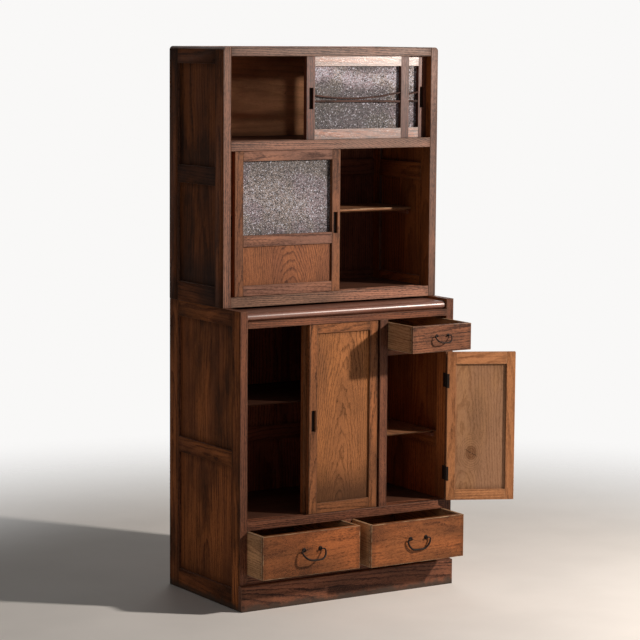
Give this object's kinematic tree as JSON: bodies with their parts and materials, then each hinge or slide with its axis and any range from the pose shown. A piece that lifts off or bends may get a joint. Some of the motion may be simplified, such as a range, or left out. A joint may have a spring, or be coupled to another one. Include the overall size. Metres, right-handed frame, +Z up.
{
  "type": "kitchen cabinet",
  "caption": "Tall wooden kitchen cabinet: a shallow glazed upper part on a deeper base, with sliding doors, a small hinged door, drop-handled drawers and inner shelves.",
  "frame": {"origin": "on the floor, at the middle of the width, in the plane of the lower cabinet's front posts", "axes": "+Z up, +Y from the front to the back, +X to the right as seen from the front"},
  "size_m": [1.0137, 0.6359, 1.818],
  "materials": {
    "stained_wood": "old dark brown stain, worn, satin",
    "shelf_wood": "bare aged board, matt",
    "counter_wood": "dark brown lacquered board, worn gloss",
    "door_wood": "brown stained, figured panels, satin",
    "drawer_front_wood": "warm brown stained, figured, satin",
    "drawer_box_wood": "bare pale softwood, matt",
    "iron": "black forged iron, slightly worn",
    "pattern_glass": "patterned obscure glass"
  },
  "bodies": {
    "carcass": {"lower_left_frame": "stained_wood", "lower_right_frame": "stained_wood", "upper_left_frame": "stained_wood", "upper_right_frame": "stained_wood", "lower_side_panels": "stained_wood", "upper_side_panels": "stained_wood", "lower_back_rails": "stained_wood", "lower_back_panels": "stained_wood", "upper_back_rails": "stained_wood", "upper_back_panels": "stained_wood", "plinth_board": "stained_wood", "bottom_front_rail": "stained_wood", "bay_sill_rail": "stained_wood", "under_counter_rail": "stained_wood", "divider_post": "stained_wood", "divider_board": "stained_wood", "top_drawer_rail": "stained_wood", "drawer_post": "stained_wood", "bay_floor": "shelf_wood", "left_bay_shelf": "shelf_wood", "right_bay_shelf": "shelf_wood", "shelf_battens": "stained_wood", "drawer_runners": "stained_wood", "counter_board": "counter_wood", "top_front_rail": "stained_wood", "middle_rail": "stained_wood", "upper_front_rail": "stained_wood", "top_board": "stained_wood", "middle_board": "shelf_wood", "upper_floor": "shelf_wood", "top_back_board": "shelf_wood", "main_shelf": "shelf_wood", "post_hinges": "iron"},
    "top_left_door": {"top_left_door": "door_wood", "top_left_door_glass": "pattern_glass"},
    "top_right_door": {"top_right_door": "door_wood", "top_right_door_glass": "pattern_glass"},
    "main_left_door": {"main_left_door": "door_wood", "main_left_door_glass": "pattern_glass"},
    "main_right_door": {"main_right_door": "door_wood", "main_right_door_glass": "pattern_glass"},
    "bay_left_door": {"bay_left_door": "door_wood"},
    "bay_right_door": {"bay_right_door": "door_wood"},
    "hinged_door": {"hinged_door": "door_wood", "door_hinges": "iron", "door_pull": "iron"},
    "left_drawer": {"left_drawer_front": "drawer_front_wood", "left_drawer_box": "drawer_box_wood", "left_drawer_posts": "iron"},
    "right_drawer": {"right_drawer_front": "drawer_front_wood", "right_drawer_box": "drawer_box_wood", "right_drawer_posts": "iron"},
    "small_drawer": {"small_drawer_front": "drawer_front_wood", "small_drawer_box": "drawer_box_wood", "small_drawer_posts": "iron"},
    "left_drawer_bail": {"left_drawer_bail": "iron"},
    "right_drawer_bail": {"right_drawer_bail": "iron"},
    "small_drawer_bail": {"small_drawer_bail": "iron"}
  },
  "joints": [
    {"name": "top_left_door_slide", "type": "slide", "parent": "carcass", "child": "top_left_door", "axis": [1, 0, 0], "range_m": [-0.2877, 0.0857]},
    {"name": "top_right_door_slide", "type": "slide", "parent": "carcass", "child": "top_right_door", "axis": [1, 0, 0], "range_m": [-0.3734, 0]},
    {"name": "main_left_door_slide", "type": "slide", "parent": "carcass", "child": "main_left_door", "axis": [1, 0, 0], "range_m": [0, 0.3734]},
    {"name": "main_right_door_slide", "type": "slide", "parent": "carcass", "child": "main_right_door", "axis": [1, 0, 0], "range_m": [-0.0176, 0.3558]},
    {"name": "bay_left_door_slide", "type": "slide", "parent": "carcass", "child": "bay_left_door", "axis": [1, 0, 0], "range_m": [-0.236, 0.0056]},
    {"name": "bay_right_door_slide", "type": "slide", "parent": "carcass", "child": "bay_right_door", "axis": [1, 0, 0], "range_m": [-0.2261, 0.0155]},
    {"name": "hinged_door_swing", "type": "hinge", "parent": "carcass", "child": "hinged_door", "pos_m": [0.3873, -0.0034, 0.547], "axis": [0, 0, 1], "range_deg": [-153.6, 21.4]},
    {"name": "left_drawer_slide", "type": "slide", "parent": "carcass", "child": "left_drawer", "axis": [0, -1, 0], "range_m": [-0.098, 0.2]},
    {"name": "right_drawer_slide", "type": "slide", "parent": "carcass", "child": "right_drawer", "axis": [0, -1, 0], "range_m": [-0.117, 0.18]},
    {"name": "small_drawer_slide", "type": "slide", "parent": "carcass", "child": "small_drawer", "axis": [0, -1, 0], "range_m": [-0.144, 0.15]},
    {"name": "left_drawer_bail_swing", "type": "hinge", "parent": "left_drawer", "child": "left_drawer_bail", "pos_m": [-0.20175, -0.106, 0.203], "axis": [-1, 0, 0], "range_deg": [-36, 64]},
    {"name": "right_drawer_bail_swing", "type": "hinge", "parent": "right_drawer", "child": "right_drawer_bail", "pos_m": [0.20175, -0.125, 0.2], "axis": [-1, 0, 0], "range_deg": [0, 100]},
    {"name": "small_drawer_bail_swing", "type": "hinge", "parent": "small_drawer", "child": "small_drawer_bail", "pos_m": [0.27, -0.14976, 0.877], "axis": [-1, 0, 0], "range_deg": [-36, 64]}
  ]
}
